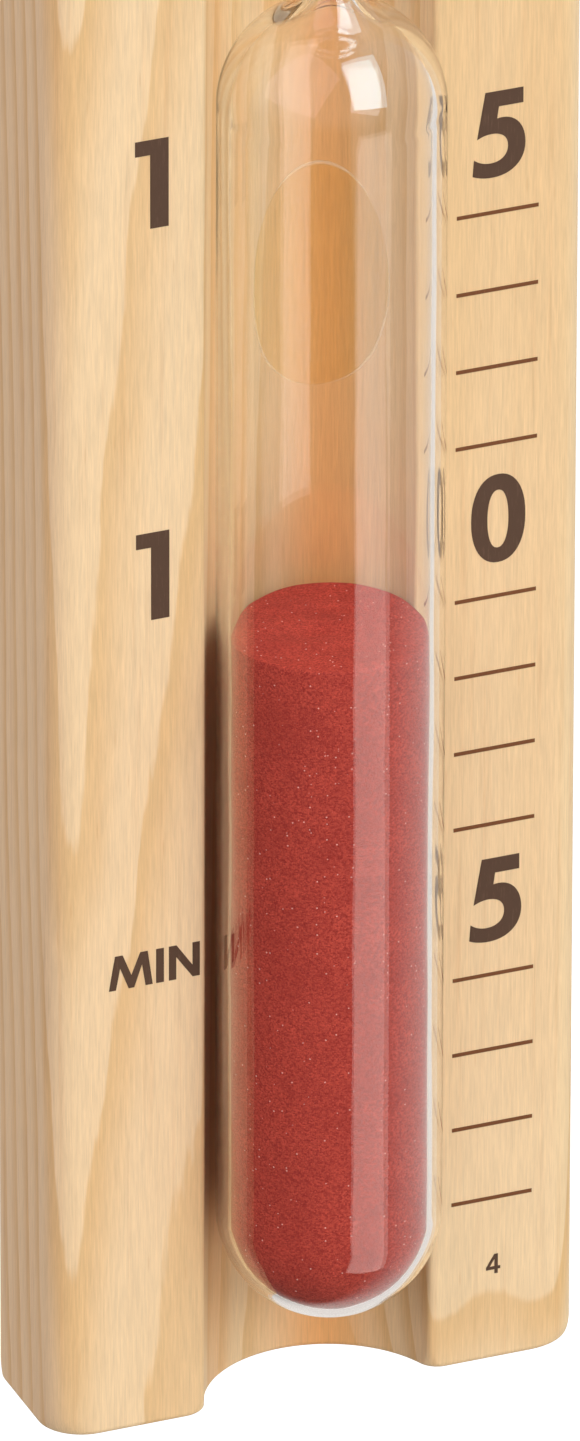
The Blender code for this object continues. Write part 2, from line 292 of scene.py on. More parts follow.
def finish(tree, shader):
    output = node(tree, "OutputMaterial")
    tree.links.new(shader, output.inputs["Surface"])


def bump(tree, height, strength, distance_mm):
    inputs = {"Height": height, "Strength": strength, "Distance": distance_mm * MM}
    return node(tree, "Bump", inputs).outputs[0]


def see_through(tree, shader, tint=(1.0, 1.0, 1.0)):
    """Shadow rays and diffuse light go straight through, so what lies behind the glass is lit."""
    path = node(tree, "LightPath")
    straight = maths(tree, "MAXIMUM", path.outputs["Is Shadow Ray"], path.outputs["Is Diffuse Ray"])
    clear = node(tree, "BsdfTransparent", {"Color": (*tint, 1.0)})
    mixed = node(tree, "MixShader", {0: straight, 1: shader, 2: clear.outputs[0]})
    return mixed.outputs[0]


# ---------------------------------------------------------------- materials


PINE_PALE = (0.855, 0.64, 0.375, 1.0)
PINE_AMBER = (0.755, 0.495, 0.225, 1.0)
PINE_STREAK = (0.60, 0.31, 0.115, 1.0)
# Deeper orange: resin patches on the plate; in the block's groove it is partly painted shade
PINE_ORANGE_AND_SHADE = (0.84, 0.40, 0.13, 1.0)

# The block's growth rings, in millimetres from its lower end
RING_LEAN = 0.14  # how far a ring moves to the right per millimetre up
RINGS_PER_MM = 0.125
RINGS_PER_MM_DEEP = 0.4
UPPER_TONGUE = (60.0, 20.0)  # height and half length
LOWER_TONGUE = (16.0, 14.0)


def hump(tree, value, centre, width):
    """A smooth hump one high round a centre."""
    away = maths(tree, "DIVIDE", maths(tree, "SUBTRACT", value, centre), width)
    return maths(tree, "EXPONENT", maths(tree, "MULTIPLY", maths(tree, "MULTIPLY", away, away), -1.0))


def left_rings(tree, x, height):
    """Left of the groove the rings run up and to the right, further apart towards the middle."""
    across = maths(tree, "MULTIPLY_ADD", height, -RING_LEAN, x)
    across = maths(tree, "ADD", across, 34.0)
    square = maths(tree, "MULTIPLY", across, across)
    rings = maths(tree, "MULTIPLY", across, RINGS_PER_MM)
    rings = maths(tree, "MULTIPLY_ADD", square, -0.001, rings)
    # Near the left edge two swells draw the tongues of pale wood out to long tips
    upper = maths(tree, "MULTIPLY", hump(tree, height, *UPPER_TONGUE), -0.42)
    swell = maths(tree, "MULTIPLY_ADD", hump(tree, height, *LOWER_TONGUE), -0.13, upper)
    near_edge = smooth_step(tree, maths(tree, "MULTIPLY", x, -1.0), 14.0, 22.5)
    return maths(tree, "MULTIPLY_ADD", swell, near_edge, rings)


def right_rings(tree, x, height):
    """Right of the groove one ring lies almost along the face and runs out near the lower end."""
    low = maths(tree, "EXPONENT", maths(tree, "MULTIPLY", maths(tree, "SUBTRACT", height, 6.0), -1 / 10))
    rings = maths(tree, "MULTIPLY_ADD", low, 0.5, 2.51)
    rings = maths(tree, "MULTIPLY_ADD", height, -0.0022, rings)
    ripple = maths(tree, "COSINE", maths(tree, "MULTIPLY", maths(tree, "SUBTRACT", x, 16.3), 0.70))
    return maths(tree, "MULTIPLY_ADD", ripple, 0.05, rings)


def block_rings(tree, vector):
    """Growth rings as a number that rises by one a ring, flat-sawn on the front, straight on the sides."""
    x, y, z = node(tree, "SeparateXYZ", {0: vector}).outputs
    height = maths(tree, "ADD", z, BLOCK_HALF_HEIGHT / MM)
    depth = maths(tree, "SUBTRACT", y, FACE / MM)
    left = left_rings(tree, x, height)
    right = right_rings(tree, x, height)
    side = smooth_step(tree, x, -9.0, 11.0)
    rings = maths(tree, "ADD", left, maths(tree, "MULTIPLY", side, maths(tree, "SUBTRACT", right, left)))
    rings = maths(tree, "MULTIPLY_ADD", depth, RINGS_PER_MM_DEEP, rings)
    calm = maths(tree, "MULTIPLY_ADD", side, -0.75, 1.0)
    slow = around_zero(tree, noise(tree, stretched(tree, vector, 0.05, 0.05, 0.016), 1.0), 0.28)
    fine = around_zero(tree, noise(tree, stretched(tree, vector, 0.4, 0.55, 0.06), 3.0, 0.6), 0.16)
    waves = maths(tree, "MULTIPLY", maths(tree, "ADD", slow, fine), calm)
    return maths(tree, "ADD", rings, waves)


def groove_orange_and_shade(tree, vector):
    """How far the wood turns a deeper orange, 0 to 1: deeper into the groove near its middle, and on its left
    wall as painted shade.
    """
    x, y, _ = node(tree, "SeparateXYZ", {0: vector}).outputs
    depth = maths(tree, "SUBTRACT", y, FACE / MM)
    towards_back = maths(tree, "MULTIPLY_ADD", smooth_step(tree, depth, 9.5, 13.0), -0.75, 1.0)
    deep = maths(tree, "MULTIPLY", smooth_step(tree, depth, 2.0, 8.5), towards_back)
    # Painted shade: the groove's left wall, which lies in the vial's shadow, is coloured a deeper orange
    left_wall_shade = hump(tree, x, -8.5, 2.2)
    middle = maths(tree, "MAXIMUM", hump(tree, x, 3.8, 4.6), maths(tree, "MULTIPLY", left_wall_shade, 0.8))
    return maths(tree, "MULTIPLY", deep, middle)


def plate_core(tree, vector):
    """Resinous patches of the plate."""
    return smooth_step(tree, noise(tree, stretched(tree, vector, 0.08, 0.08, 0.02), 1.0), 0.45, 0.8)


def plate_rings(tree, vector):
    parts = node(tree, "SeparateXYZ", {0: vector})
    x, y, z = parts.outputs
    rings = maths(tree, "MULTIPLY_ADD", x, 0.16, maths(tree, "MULTIPLY", y, 0.35))
    rings = maths(tree, "MULTIPLY_ADD", z, 0.012, rings)
    slow = around_zero(tree, noise(tree, stretched(tree, vector, 0.06, 0.06, 0.02), 1.0), 0.5)
    return maths(tree, "ADD", rings, slow)


def pine(name, rings_of, orange_and_shade_of, roughness=0.5):
    """Pale pine: each ring starts amber at a sharp edge and fades to cream, with streaks and fibres."""
    made = new_material(name)
    tree = made.node_tree
    vector = object_mm(tree)
    rings = rings_of(tree, vector)
    share = maths(tree, "FRACT", rings)
    fade = maths(tree, "SUBTRACT", 1.0, smooth_step(tree, share, 0.0, 0.62))
    edge = smooth_step(tree, share, 0.95, 1.0)
    amber = maths(tree, "MAXIMUM", fade, edge)
    patches = noise(tree, stretched(tree, vector, 0.12, 0.12, 0.02), 2.0)
    amber = maths(tree, "MULTIPLY", amber, maths(tree, "MULTIPLY_ADD", patches, 0.7, 0.5))
    colour = mix(tree, amber, PINE_PALE, PINE_AMBER)
    # Deeper orange: resin on the plate, and in the block's groove partly painted shade
    colour = mix(tree, maths(tree, "MULTIPLY", orange_and_shade_of(tree, vector), 0.9, clamp=True), colour, PINE_ORANGE_AND_SHADE)
    streaks = noise(tree, stretched(tree, vector, 1.3, 1.3, 0.03), 3.0, 0.6)
    streaked = maths(tree, "MULTIPLY", smooth_step(tree, streaks, 0.5, 0.85), 0.34)
    colour = mix(tree, streaked, colour, PINE_STREAK)
    fibres = noise(tree, stretched(tree, vector, 7.0, 7.0, 0.30), 3.0, 0.65)
    shade = maths(tree, "MULTIPLY_ADD", fibres, 0.44, 0.78)
    blotches = noise(tree, stretched(tree, vector, 0.5, 0.5, 0.18), 3.0, 0.6)
    shade = maths(tree, "MULTIPLY", shade, maths(tree, "MULTIPLY_ADD", blotches, 0.10, 0.95))
    shading = node(tree, "CombineXYZ", {0: shade, 1: shade, 2: shade}).outputs[0]
    colour = mix(tree, 1.0, colour, shading, "MULTIPLY")
    # Short resin ducts: sparse thin dashes along the grain
    cells = node(
        tree,
        "TexVoronoi",
        {"Vector": stretched(tree, vector, 0.9, 0.9, 0.10), "Scale": 1.0},
        feature="F1",
    )
    ducts = maths(tree, "SUBTRACT", 1.0, smooth_step(tree, cells.outputs["Distance"], 0.03, 0.12))
    ducts = maths(tree, "MULTIPLY", ducts, 0.22)
    colour = mix(tree, ducts, colour, PINE_STREAK)
    height = maths(tree, "MULTIPLY_ADD", amber, 0.35, fibres)
    rough = maths(tree, "MULTIPLY_ADD", fibres, 0.16, roughness - 0.08)
    shader = node(
        tree,
        "BsdfPrincipled",
        {
            "Base Color": colour,
            "Roughness": rough,
            "Specular IOR Level": 0.35,
            "Normal": bump(tree, height, 0.25, 0.03),
        },
    )
    finish(tree, shader.outputs[0])
    return made


def ink(name, colour):
    """Printed ink that lets the fibres show a little."""
    made = new_material(name)
    tree = made.node_tree
    vector = object_mm(tree)
    fibres = noise(tree, stretched(tree, vector, 6.0, 6.0, 0.5), 3.0, 0.7)
    worn = smooth_step(tree, fibres, 0.52, 0.8)
    lighter = tuple(min(1.0, c * 1.9 + 0.02) for c in colour) + (1.0,)
    shaded = mix(tree, maths(tree, "MULTIPLY", worn, 0.5), (*colour, 1.0), lighter)
    rough = maths(tree, "MULTIPLY_ADD", fibres, 0.2, 0.5)
    inputs = {"Base Color": shaded, "Roughness": rough, "Specular IOR Level": 0.15}
    inputs["Normal"] = bump(tree, fibres, 0.2, 0.02)
    finish(tree, node(tree, "BsdfPrincipled", inputs).outputs[0])
    return made


def glass():
    made = new_material("vial_glass")
    tree = made.node_tree
    vector = object_mm(tree)
    drawn = noise(tree, stretched(tree, vector, 0.22, 0.22, 0.05), 1.0)
    smudges = noise(tree, stretched(tree, vector, 0.5, 0.5, 0.2), 3.0)
    inputs = {"Base Color": (1.0, 0.998, 0.992, 1.0), "IOR": 1.48, "Transmission Weight": 1.0}
    inputs["Roughness"] = maths(tree, "MULTIPLY", smooth_step(tree, smudges, 0.45, 0.8), 0.02)
    inputs["Normal"] = bump(tree, drawn, 0.10, 0.4)
    shader = node(tree, "BsdfPrincipled", inputs)
    finish(tree, see_through(tree, shader.outputs[0], (0.975, 0.975, 0.97)))
    return made


def red_sand():
    """Fine dyed grains; a few are painted pale as glints, and are glossier as well."""
    made = new_material("red_sand_grains")
    tree = made.node_tree
    vector = object_mm(tree)
    grains = node(tree, "TexVoronoi", {"Vector": vector, "Scale": GRAINS_PER_MM}, feature="F1")
    coarse = node(tree, "TexVoronoi", {"Vector": vector, "Scale": GLINTS_PER_MM}, feature="F1")
    tone = node(tree, "SeparateColor", {0: grains.outputs["Color"]})
    dark = (0.32, 0.024, 0.015, 1.0)
    light = (0.64, 0.082, 0.050, 1.0)
    colour = mix(tree, tone.outputs[0], dark, light)
    clouds = noise(tree, stretched(tree, vector, 0.25, 0.25, 0.25), 3.0)
    colour = mix(tree, maths(tree, "MULTIPLY", smooth_step(tree, clouds, 0.35, 0.75), 0.35), colour, dark)
    # Painted glints: a few grains get a pale colour that stands in for sparkle, and less roughness
    pick = node(tree, "SeparateColor", {0: coarse.outputs["Color"]})
    rare = maths(tree, "GREATER_THAN", pick.outputs[1], 1 - PAINTED_GLINT_SHARE)
    near = maths(tree, "LESS_THAN", coarse.outputs["Distance"], 0.22)
    glint = maths(tree, "MULTIPLY", rare, near)
    colour = mix(tree, maths(tree, "MULTIPLY", glint, 0.8), colour, (0.95, 0.62, 0.52, 1.0))
    rough = maths(tree, "MULTIPLY_ADD", glint, -0.5, 0.78)
    height = maths(tree, "SUBTRACT", 1.0, grains.outputs["Distance"])
    inputs = {"Base Color": colour, "Roughness": rough, "Specular IOR Level": 0.25}
    inputs["Normal"] = bump(tree, height, 0.8, 0.10)
    finish(tree, node(tree, "BsdfPrincipled", inputs).outputs[0])
    return made


def silicone(name, height):
    """Clear glue that wets the wood: the pine under it looks deeper, inside a thin pale outline that is a
    painted highlight.
    """
    made = new_material(name)
    tree = made.node_tree
    vector = object_mm(tree)
    x, y, z = node(tree, "SeparateXYZ", {0: vector}).outputs
    angle = maths(tree, "ARCTAN2", x, maths(tree, "SUBTRACT", y, VIAL_AXIS / MM))
    radius = (VIAL_RADIUS + GROOVE_CLEARANCE / 2) / MM
    angle_to_share = radius / (DAB_WIDTH / MM / 2)
    across = maths(tree, "MULTIPLY", maths(tree, "SUBTRACT", angle, DAB_LEAN), angle_to_share)
    up = maths(tree, "DIVIDE", maths(tree, "SUBTRACT", z, height / MM), DAB_HEIGHT / MM / 2)
    square = maths(tree, "MULTIPLY_ADD", across, across, maths(tree, "MULTIPLY", up, up))
    # Painted highlight: a thin pale diffuse line along the glue's edge, where its surface turns steeply
    edge = smooth_step(tree, maths(tree, "SQRT", square), 0.978, 0.992)
    lumps = noise(tree, vector, 2.0, 0.5, 0.35)
    wet = mix(tree, lumps, (1.0, 0.95, 0.82, 1.0), (1.0, 0.965, 0.87, 1.0))
    clear = node(tree, "BsdfTransparent", {"Color": wet})
    gloss = {"Color": grey(1.0), "Roughness": 0.12, "Normal": bump(tree, lumps, 0.2, 0.3)}
    shine = node(tree, "BsdfGlossy", gloss)
    film = node(tree, "MixShader", {0: 0.008, 1: clear.outputs[0], 2: shine.outputs[0]})
    painted_rim = node(tree, "BsdfDiffuse", {"Color": PAINTED_RIM_HIGHLIGHT})
    inputs = {0: maths(tree, "MULTIPLY", edge, 0.22), 1: film.outputs[0], 2: painted_rim.outputs[0]}
    finish(tree, node(tree, "MixShader", inputs).outputs[0])
    return made


def plain_look(
    name, colour, roughness, metallic=0.0, grain=(2.0, 2.0, 2.0), contrast=0.2, depth=0.02, **extra
):
    """Moulded or machined matter: a noise of its own scale in colour, roughness and surface."""
    made = new_material(name)
    tree = made.node_tree
    vector = object_mm(tree)
    mottle = noise(tree, stretched(tree, vector, *grain), 4.0, 0.6)
    darker = tuple(c * (1 - contrast) for c in colour) + (1.0,)
    inputs = {"Base Color": mix(tree, mottle, darker, (*colour, 1.0)), "Metallic": metallic}
    inputs["Roughness"] = maths(tree, "MULTIPLY_ADD", mottle, 0.25, roughness - 0.12)
    inputs["Normal"] = bump(tree, mottle, 0.4, depth)
    for key, value in extra.items():
        inputs[key.replace("_", " ")] = value
    finish(tree, node(tree, "BsdfPrincipled", inputs).outputs[0])
    return made


def felt():
    made = new_material("grey_felt")
    tree = made.node_tree
    vector = object_mm(tree)
    fuzz = noise(tree, vector, 5.0, 0.75, 3.0, 1.5)
    colour = mix(tree, fuzz, (0.03, 0.026, 0.023, 1.0), (0.16, 0.145, 0.13, 1.0))
    inputs = {"Base Color": colour, "Roughness": 0.95, "Sheen Weight": 0.5, "Sheen Roughness": 0.6}
    inputs["Specular IOR Level"] = 0.15
    inputs["Normal"] = bump(tree, fuzz, 0.9, 0.15)
    finish(tree, node(tree, "BsdfPrincipled", inputs).outputs[0])
    return made


# ---------------------------------------------------------------- the pine block


def block_section(sanding, inset):
    """The block's outline seen from above, as in the CAD, with finer arcs."""
    side = BLOCK_HALF_WIDTH - inset
    front = FACE + inset
    back = BACK - inset
    groove = GROOVE_RADIUS + inset
    extra = SANDED_EXTRA * sanding
    front_radius = FRONT_EDGE_RADIUS + extra - inset
    back_radius = BACK_EDGE_RADIUS + extra / 2 - inset
    lip = LIP_RADIUS + extra - inset
    lip_y = front + lip
    lip_x = sqrt((groove + lip) ** 2 - (lip_y - VIAL_AXIS) ** 2)
    lip_angle = atan2(lip_y - VIAL_AXIS, lip_x)
    corner = 14
    points = []
    points += arc((side - back_radius, back - back_radius), back_radius, pi / 2, 0, corner)
    points += arc((side - front_radius, front + front_radius), front_radius, 0, -pi / 2, corner)
    points += arc((lip_x, lip_y), lip, -pi / 2, -pi + lip_angle, corner)
    points += arc((0, VIAL_AXIS), groove, lip_angle, pi - lip_angle, 96)[1:-1]
    points += arc((-lip_x, lip_y), lip, -lip_angle, -pi / 2, corner)
    points += arc((front_radius - side, front + front_radius), front_radius, -pi / 2, -pi, corner)
    points += arc((back_radius - side, back - back_radius), back_radius, pi, pi / 2, corner)
    return points


def block_stations():
    """(height, sanding, inset) of the block's sections from its lower end to its upper end."""
    depths = [END_ROUNDING * (1 - cos(radians(9 * i))) for i in range(11)]
    depths += [END_ROUNDING + (SANDED_HEIGHT - END_ROUNDING) * (i / 9) ** 1.5 for i in range(1, 10)]
    levels = []
    for depth in depths:
        sanding = 1 - sqrt(1 - (1 - depth / SANDED_HEIGHT) ** 2)
        left = max(0.0, 1 - depth / END_ROUNDING)
        levels.append((depth, sanding, END_ROUNDING * (1 - sqrt(1 - left**2))))
    top = BLOCK_HALF_HEIGHT
    stations = [(depth - top, sanding, inset) for depth, sanding, inset in levels]
    stations += [(height * MM, 0.0, 0.0) for height in (-90, -40, -12, 12, 40, 90)]
    stations += [(top - depth, sanding, inset) for depth, sanding, inset in reversed(levels)]
    return stations


def make_block(look):
    bm = bmesh.new()
    rings = []
    for height, sanding, inset in block_stations():
        rings.append([bm.verts.new((x, y, height)) for x, y in block_section(sanding, inset)])
    count = len(rings[0])
    for lower, upper in zip(rings, rings[1:]):
        for i in range(count):
            j = (i + 1) % count
            bm.faces.new((lower[i], lower[j], upper[j], upper[i]))
    bm.faces.new(rings[0])
    bm.faces.new(rings[-1])
    bmesh.ops.recalc_face_normals(bm, faces=bm.faces)
    block = new_object("pine_block", mesh_from(bm, "pine_block"), look, 40.0)
    spot = VIAL_AXIS + GROOVE_RADIUS + SPOT_FACE_DEPTH
    soft = 0.25 * MM
    recess = [(0, -VIAL_AXIS), (SPOT_FACE_RADIUS, -VIAL_AXIS), (SPOT_FACE_RADIUS, -spot)]
    recess += arc((PIVOT_HOLE_RADIUS + soft, -spot - soft), soft, pi / 2, pi, 6)
    recess += [(PIVOT_HOLE_RADIUS, -BACK - 5 * MM), (0, -BACK - 5 * MM)]
    cutter = bpy.data.objects.new("pivot_recess_cutter", turned("pivot_recess_cutter", recess, 72))
    bpy.context.scene.collection.objects.link(cutter)
    cutter.rotation_euler.x = pi / 2
    bpy.context.view_layer.update()
    boolean = block.modifiers.new("Pivot recess", "BOOLEAN")
    boolean.operation = "DIFFERENCE"
    boolean.solver = "EXACT"
    boolean.object = cutter
    applied(block)
    bpy.data.objects.remove(cutter)
    block.data.shade_smooth()
    block.data.set_sharp_from_angle(angle=radians(40))
    weighted = block.modifiers.new("Even shading", "WEIGHTED_NORMAL")
    weighted.keep_sharp = True
    place(block, "turning_block", "pine", "timer_body")
    return block


# ---------------------------------------------------------------- the vial, its sand and its glue


def bulb_profile(radius, throat, further=0.0):
    """Upper half of the vial's outline, from the top pole down to the throat."""
    fillet = (DOME_OFFSET**2 + throat**2 - radius**2) / (2 * (radius - throat))
    reach = acos(DOME_OFFSET / (radius + fillet))
    points = arc((0, BULB_END + further), radius, pi / 2, 0, 40)
    points += arc((0, DOME_OFFSET), radius, 0, reach - pi / 2, 28)
    points += arc((throat + fillet, 0), fillet, reach + pi / 2, pi, 20)
    return without_repeats(points)


def mirrored_down(points):
    return [(radius, -height) for radius, height in reversed(points)]


def make_vial(look):
    outside = bulb_profile(VIAL_RADIUS, NECK_RADIUS)
    bore = bulb_profile(BORE_RADIUS, THROAT_RADIUS, END_THINNING)
    outer_rim = BULB_END + sqrt(VIAL_RADIUS**2 - FILL_HOLE_RADIUS**2)
    inner_rim = BULB_END + END_THINNING + sqrt(BORE_RADIUS**2 - FILL_HOLE_RADIUS**2)
    open_outside = [(FILL_HOLE_RADIUS, outer_rim)] + [p for p in outside if p[1] < outer_rim and p[0] > 0]
    open_bore = [(FILL_HOLE_RADIUS, inner_rim)] + [p for p in bore if p[1] < inner_rim and p[0] > 0]
    down_outside = open_outside + mirrored_down(outside)
    down_bore = open_bore + mirrored_down(bore)
    mesh = turned("glass_tube", down_bore[::-1] + down_outside, 128, centre_y=VIAL_AXIS)
    bm = bmesh.new()
    bm.from_mesh(mesh)
    rims = [e for e in bm.edges if e.is_boundary]
    bmesh.ops.bridge_loops(bm, edges=rims)
    bmesh.ops.recalc_face_normals(bm, faces=bm.faces)
    bm.to_mesh(mesh)
    bm.free()
    vial = new_object("glass_tube", mesh, look, 60.0)
    place(vial, "turning_block", "clear_glass", "glass_vial")
    return vial


def sand_ripple(x, y):
    """The small unevenness of the sand's flat top, which dies away towards the glass."""
    calm = max(0.0, 1 - (x * x + y * y) / BORE_RADIUS**2)
    wave = sin(x / MM * 0.9 + 0.6) * cos(y / MM * 0.7) + 0.5 * sin(y / MM * 1.6 + x / MM * 0.4)
    return 0.16 * MM * calm * wave


def make_sand(look):
    radius = BORE_RADIUS - SAND_AIR
    profile = [(radius * i / 24, SAND_TOP) for i in range(24)]
    profile += arc((radius - 0.15 * MM, SAND_TOP - 0.15 * MM), 0.15 * MM, pi / 2, 0, 4)
    profile += [(radius, SAND_TOP - 2 * MM), (radius, -BULB_END + 2 * MM)]
    profile += arc((0, -BULB_END - END_THINNING), radius, 0, -pi / 2, 40)
    mesh = turned("sand_fill", profile, 128, centre_y=VIAL_AXIS)
    for vertex in mesh.vertices:
        if vertex.co.z > SAND_TOP - 0.5 * MM:
            vertex.co.z += sand_ripple(vertex.co.x, vertex.co.y - VIAL_AXIS)
    sand = new_object("sand_fill", mesh, look, 50.0)
    place(sand, "turning_block", "red_sand", "sand_charge")
    return sand


def make_dab(name, node_name, height):
    """An oval pressed patch between the vial and the groove, with a rounded rim."""
    radius = VIAL_RADIUS + GROOVE_CLEARANCE / 2
    rings, around = 16, 96
    bm = bmesh.new()
    shells = []
    for side in (1, -1):
        shell = [[bm.verts.new(dab_point(0, 0, side, radius, height))]]
        for ring in range(1, rings + 1):
            share = sin(pi / 2 * ring / rings)
            loop = []
            for i in range(around):
                angle = 2 * pi * i / around
                point = dab_point(share * cos(angle), share * sin(angle), side, radius, height)
                loop.append(bm.verts.new(point))
            shell.append(loop)
        shells.append(shell)
    for shell in shells:
        for i in range(around):
            bm.faces.new((shell[0][0], shell[1][i], shell[1][(i + 1) % around]))
        for inner, outer in zip(shell[1:], shell[2:]):
            for i in range(around):
                j = (i + 1) % around
                bm.faces.new((inner[i], outer[i], outer[j], inner[j]))
    bmesh.ops.remove_doubles(bm, verts=bm.verts, dist=1e-7)
    bmesh.ops.recalc_face_normals(bm, faces=bm.faces)
    dab = new_object(name, mesh_from(bm, name), silicone(name + "_glue", height), 75.0)
    dab.visible_shadow = False
    dab.visible_diffuse = False
    place(dab, "turning_block", "clear_silicone", node_name)
    return dab


def dab_point(across, up, side, radius, height):
    """A point of the dab: across and up run from -1 to 1, side is the face towards wood or glass."""
    edge = min(1.0, sqrt(across**2 + up**2))
    wobble = 1.0 + 0.015 * sin(3 * atan2(up, across) + height / MM)
    half = DAB_THICKNESS / 2 * max(0.0, 1 - edge**10) ** 0.5
    angle = DAB_LEAN + across * wobble * DAB_WIDTH / 2 / radius
    reach = radius + side * half
    return (reach * sin(angle), VIAL_AXIS + reach * cos(angle), height + up * wobble * DAB_HEIGHT / 2)


# ---------------------------------------------------------------- the printed scale


def curve_points(commands):
    """Outline commands as points: a pair is a corner, six numbers are a cubic curve from the last point."""
    points = []
    for command in commands:
        if len(command) == 2:
            points.append(command)
            continue
        x0, y0 = points[-1]
        x1, y1, x2, y2, x3, y3 = command
        for i in range(1, 13):
            t = i / 12
            a, b, c, d = (1 - t) ** 3, 3 * t * (1 - t) ** 2, 3 * t * t * (1 - t), t**3
            points.append((a * x0 + b * x1 + c * x2 + d * x3, a * y0 + b * y1 + c * y2 + d * y3))
    return points


OVAL_POWER = 0.90  # 1 is an ellipse, and less is squarer


def oval(centre_x, centre_y, half_width, half_height):
    """A squarish oval."""
    points = []
    for i in range(48):
        angle = 2 * pi * i / 48
        c, s = cos(angle), sin(angle)
        x = half_width * abs(c) ** OVAL_POWER * (1 if c > 0 else -1)
        y = half_height * abs(s) ** OVAL_POWER * (1 if s > 0 else -1)
        points.append((centre_x + x, centre_y + y))
    return points


# Each glyph is a list of outlines in millimetres from its lower left corner
GLYPHS = {
    "5": [
        curve_points(
            [
                (1.15, 8.25),
                (4.7, 8.25),
                (4.7, 6.77),
                (2.42, 6.77),
                (2.25, 5.6),
                (2.42, 5.64, 2.6, 5.66, 2.78, 5.66),
                (4.1, 5.66, 4.92, 4.53, 4.92, 2.95),
                (4.92, 1.1, 3.6, 0.0, 1.85, 0.0),
                (1.15, 0.0, 0.55, 0.12, 0.0, 0.38),
                (0.12, 1.95),
                (0.55, 1.57, 1.1, 1.38, 1.65, 1.38),
                (2.65, 1.38, 3.3, 1.95, 3.3, 2.86),
                (3.3, 3.72, 2.7, 4.22, 1.8, 4.22),
                (1.3, 4.22, 0.85, 4.1, 0.4, 3.86),
            ]
        )
    ],
    "1": [[(1.4, 0.0), (3.1, 0.0), (3.1, 8.5), (0.0, 8.5), (0.0, 7.07), (1.4, 7.07)]],
    "0": [oval(2.55, 4.3, 2.55, 4.3), oval(2.52, 4.25, 1.0, 2.83)],
    "M": [
        [
            (0.0, 0.0),
            (0.66, 0.0),
            (1.05, 2.1),
            (1.86, 0.0),
            (2.38, 0.0),
            (3.12, 2.15),
            (3.45, 0.0),
            (4.12, 0.0),
            (3.65, 3.35),
            (2.95, 3.35),
            (2.12, 1.25),
            (1.3, 3.35),
            (0.58, 3.35),
        ]
    ],
    "I": [[(0.0, 0.0), (0.72, 0.0), (0.72, 3.35), (0.0, 3.35)]],
    "N": [
        [
            (0.0, 0.0),
            (0.68, 0.0),
            (0.68, 2.2),
            (2.22, 0.0),
            (2.9, 0.0),
            (2.9, 3.35),
            (2.22, 3.35),
            (2.22, 1.15),
            (0.72, 3.35),
            (0.0, 3.35),
        ]
    ],
    "4": [
        [
            (0.8, 0.0),
            (1.12, 0.0),
            (1.12, 0.42),
            (1.35, 0.42),
            (1.35, 0.72),
            (1.12, 0.72),
            (1.12, 1.95),
            (0.78, 1.95),
            (0.0, 0.66),
            (0.0, 0.42),
            (0.8, 0.42),
        ],
        [(0.34, 0.72), (0.8, 0.72), (0.8, 1.48)],
    ],
}

# Which glyph stands where: its lower left corner across and above the block's lower end, in millimetres
NUMBERS = (
    ("5", 14.2, 117.0),
    ("0", 14.25, 79.5),
    ("5", 14.3, 42.1),
    ("1", -17.2, 117.9),
    ("1", -17.15, 80.0),
)
WORDS = (("M", -19.75, 44.2), ("I", -15.3, 44.2), ("N", -14.1, 44.2), ("4", 16.1, 8.7))


def printed(name, outlines, look):
    """Thin closed slabs of ink on the front face, and the same again turned half round the pivot."""
    curve = bpy.data.curves.new(name, "CURVE")
    curve.dimensions = "2D"
    curve.fill_mode = "BOTH"
    curve.extrude = PRINT_THICKNESS / 2 + PRINT_SUNK / 2
    for sign in (1, -1):
        for outline in outlines:
            spline = curve.splines.new("POLY")
            spline.points.add(len(outline) - 1)
            for point, (x, up) in zip(spline.points, outline):
                point.co = (sign * x * MM, sign * (up * MM - BLOCK_HALF_HEIGHT), 0, 1)
            spline.use_cyclic_u = True
    holder = bpy.data.objects.new(name + "_curve", curve)
    bpy.context.scene.collection.objects.link(holder)
    bpy.context.view_layer.update()
    graph = bpy.context.evaluated_depsgraph_get()
    mesh = bpy.data.meshes.new_from_object(holder.evaluated_get(graph))
    bpy.data.objects.remove(holder)
    mesh.transform(Matrix.Rotation(pi / 2, 4, "X"))
    middle = FACE - PRINT_THICKNESS / 2 + PRINT_SUNK / 2
    mesh.transform(Matrix.Translation((0, middle, 0)))
    bm = bmesh.new()
    bm.from_mesh(mesh)
    bmesh.ops.remove_doubles(bm, verts=bm.verts, dist=1e-7)
    bmesh.ops.recalc_face_normals(bm, faces=bm.faces)
    bm.to_mesh(mesh)
    bm.free()
    print_object = new_object(name, mesh, look, 30.0)
    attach(print_object, "turning_block")
    return print_object


def moved(glyph, right, up):
    return [[(x + right, y + up) for x, y in outline] for outline in GLYPHS[glyph]]


def make_print(ink_look, tick_look):
    for name, entries in (("printed_numbers", NUMBERS), ("printed_words", WORDS)):
        outlines = []
        for glyph, right, up in entries:
            outlines += moved(glyph, right, up)
        printed(name, outlines, ink_look)
    ticks = []
    for mark in TICK_MARKS:
        level = (MARK_ZERO + mark * MARK_SPACING) / MM
        low, high = level - TICK_WIDTH / MM / 2, level + TICK_WIDTH / MM / 2
        start, end = TICK_START / MM, TICK_END / MM
        ticks.append([(start, low), (end, low), (end, high), (start, high)])
    printed("printed_ticks", ticks, tick_look)


# ---------------------------------------------------------------- stage, light and camera


